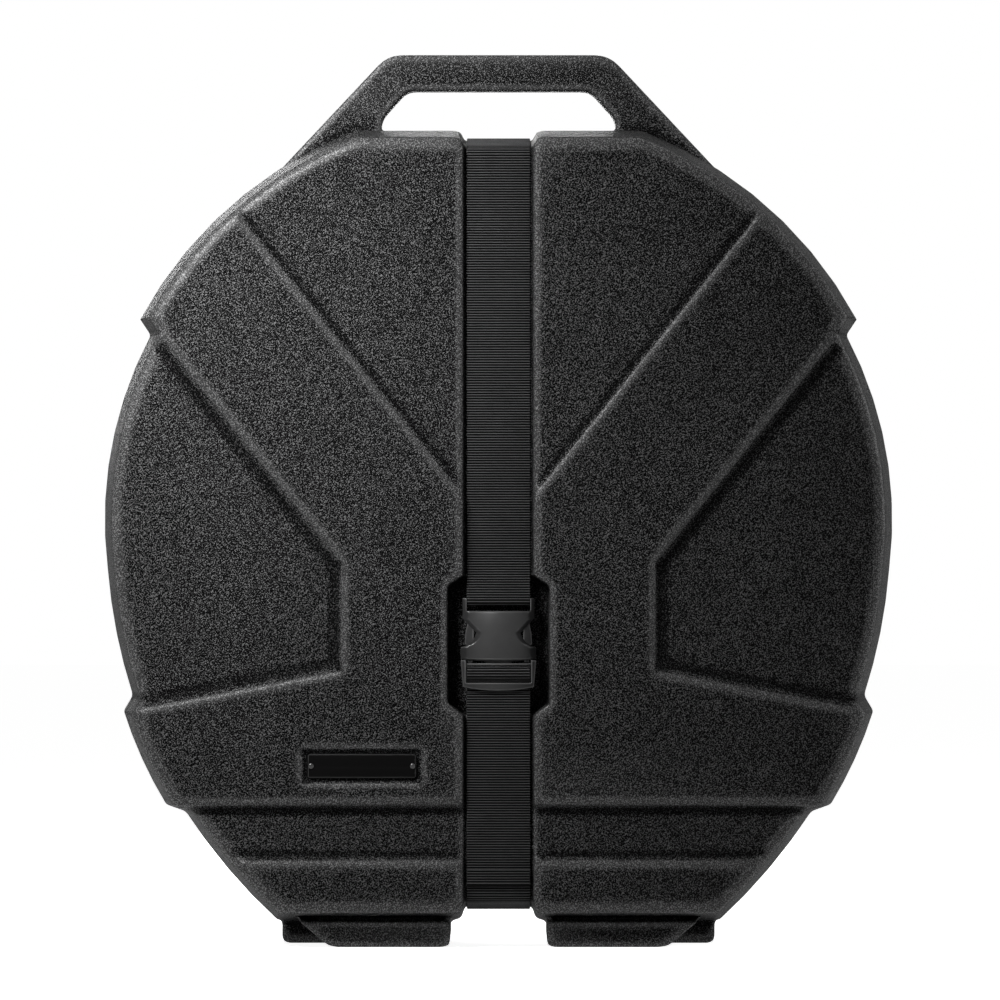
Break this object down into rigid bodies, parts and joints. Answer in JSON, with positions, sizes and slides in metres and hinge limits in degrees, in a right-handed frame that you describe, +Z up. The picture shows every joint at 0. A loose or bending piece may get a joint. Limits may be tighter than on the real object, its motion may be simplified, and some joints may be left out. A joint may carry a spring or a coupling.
{
  "type": "cymbal case",
  "caption": "Round-sided hard case in two moulded shells with grip handle, feet, centre post and foam, closed by a webbing strap and a side-release buckle.",
  "frame": {"origin": "on the floor under the middle of the case, which stands on its feet", "axes": "+Z up, the front with the buckle faces -Y, +X to the right seen from the front"},
  "size_m": [0.629, 0.19, 0.7104],
  "materials": {
    "moulded_shell": "pebbled moulded polyethylene",
    "charcoal_foam": "closed-cell foam",
    "black_webbing": "ribbed polypropylene webbing",
    "buckle_plastic": "satin moulded acetal",
    "badge_finish": "bare smooth plate",
    "screw_steel": "bright domed heads",
    "zinc_steel": "zinc plated",
    "grey_felt": "pressed wool felt"
  },
  "bodies": {
    "base": {"rear_shell": "moulded_shell", "base_side_foam": "charcoal_foam", "base_pad": "charcoal_foam", "post_flange": "buckle_plastic", "flange_bolt_1": "zinc_steel", "flange_bolt_2": "zinc_steel", "flange_bolt_3": "zinc_steel", "flange_bolt_4": "zinc_steel", "post_rod": "zinc_steel", "post_sleeve": "buckle_plastic", "lower_felt": "grey_felt", "strap_back_run": "black_webbing"},
    "cover": {"front_shell": "moulded_shell", "cover_side_foam": "charcoal_foam", "cover_pad": "charcoal_foam", "badge_plate": "badge_finish", "badge_screw_left": "screw_steel", "badge_screw_right": "screw_steel", "strap_upper_run": "black_webbing", "strap_lower_run": "black_webbing", "buckle_socket": "buckle_plastic"},
    "plug": {"buckle_plug": "buckle_plastic", "strap_wrap": "black_webbing"},
    "left_prong": {"prong_left": "buckle_plastic"},
    "right_prong": {"prong_right": "buckle_plastic"},
    "tail": {"strap_tail": "black_webbing"},
    "carriage": {"clamp_washer": "zinc_steel", "upper_felt": "grey_felt"},
    "knob": {"post_knob": "buckle_plastic"}
  },
  "joints": [
    {"name": "cover_slide", "type": "slide", "parent": "base", "child": "cover", "axis": [0, -1, 0], "range_m": [0, 0.2]},
    {"name": "plug_release", "type": "slide", "parent": "cover", "child": "plug", "axis": [0, 0, -1], "range_m": [0, 0.02], "deforming": ["strap_wrap", "prong_left", "prong_right"]},
    {"name": "prong_left_flex", "type": "hinge", "parent": "plug", "child": "left_prong", "pos_m": [-0.0225, -0.084, 0.2256], "axis": [0, 1, 0], "range_deg": [0, 7], "stiffness_Nm_per_rad": 0.5},
    {"name": "prong_right_flex", "type": "hinge", "parent": "plug", "child": "right_prong", "pos_m": [0.0225, -0.084, 0.2256], "axis": [0, -1, 0], "range_deg": [0, 7], "stiffness_Nm_per_rad": 0.5},
    {"name": "tail_lift", "type": "hinge", "parent": "plug", "child": "tail", "pos_m": [0, -0.0866, 0.2022], "axis": [-1, 0, 0], "range_deg": [0, 85]},
    {"name": "carriage_slide", "type": "slide", "parent": "base", "child": "carriage", "axis": [0, 1, 0], "range_m": [0, 0.025]},
    {"name": "knob_turn", "type": "hinge", "parent": "carriage", "child": "knob", "pos_m": [0, -0.046, 0.342], "axis": [0, 1, 0], "range_deg": [0, 7200]}
  ],
  "couplings": [
    {"joint": "knob_turn", "follows": "carriage_slide", "rad_per_m": 5026.5}
  ]
}
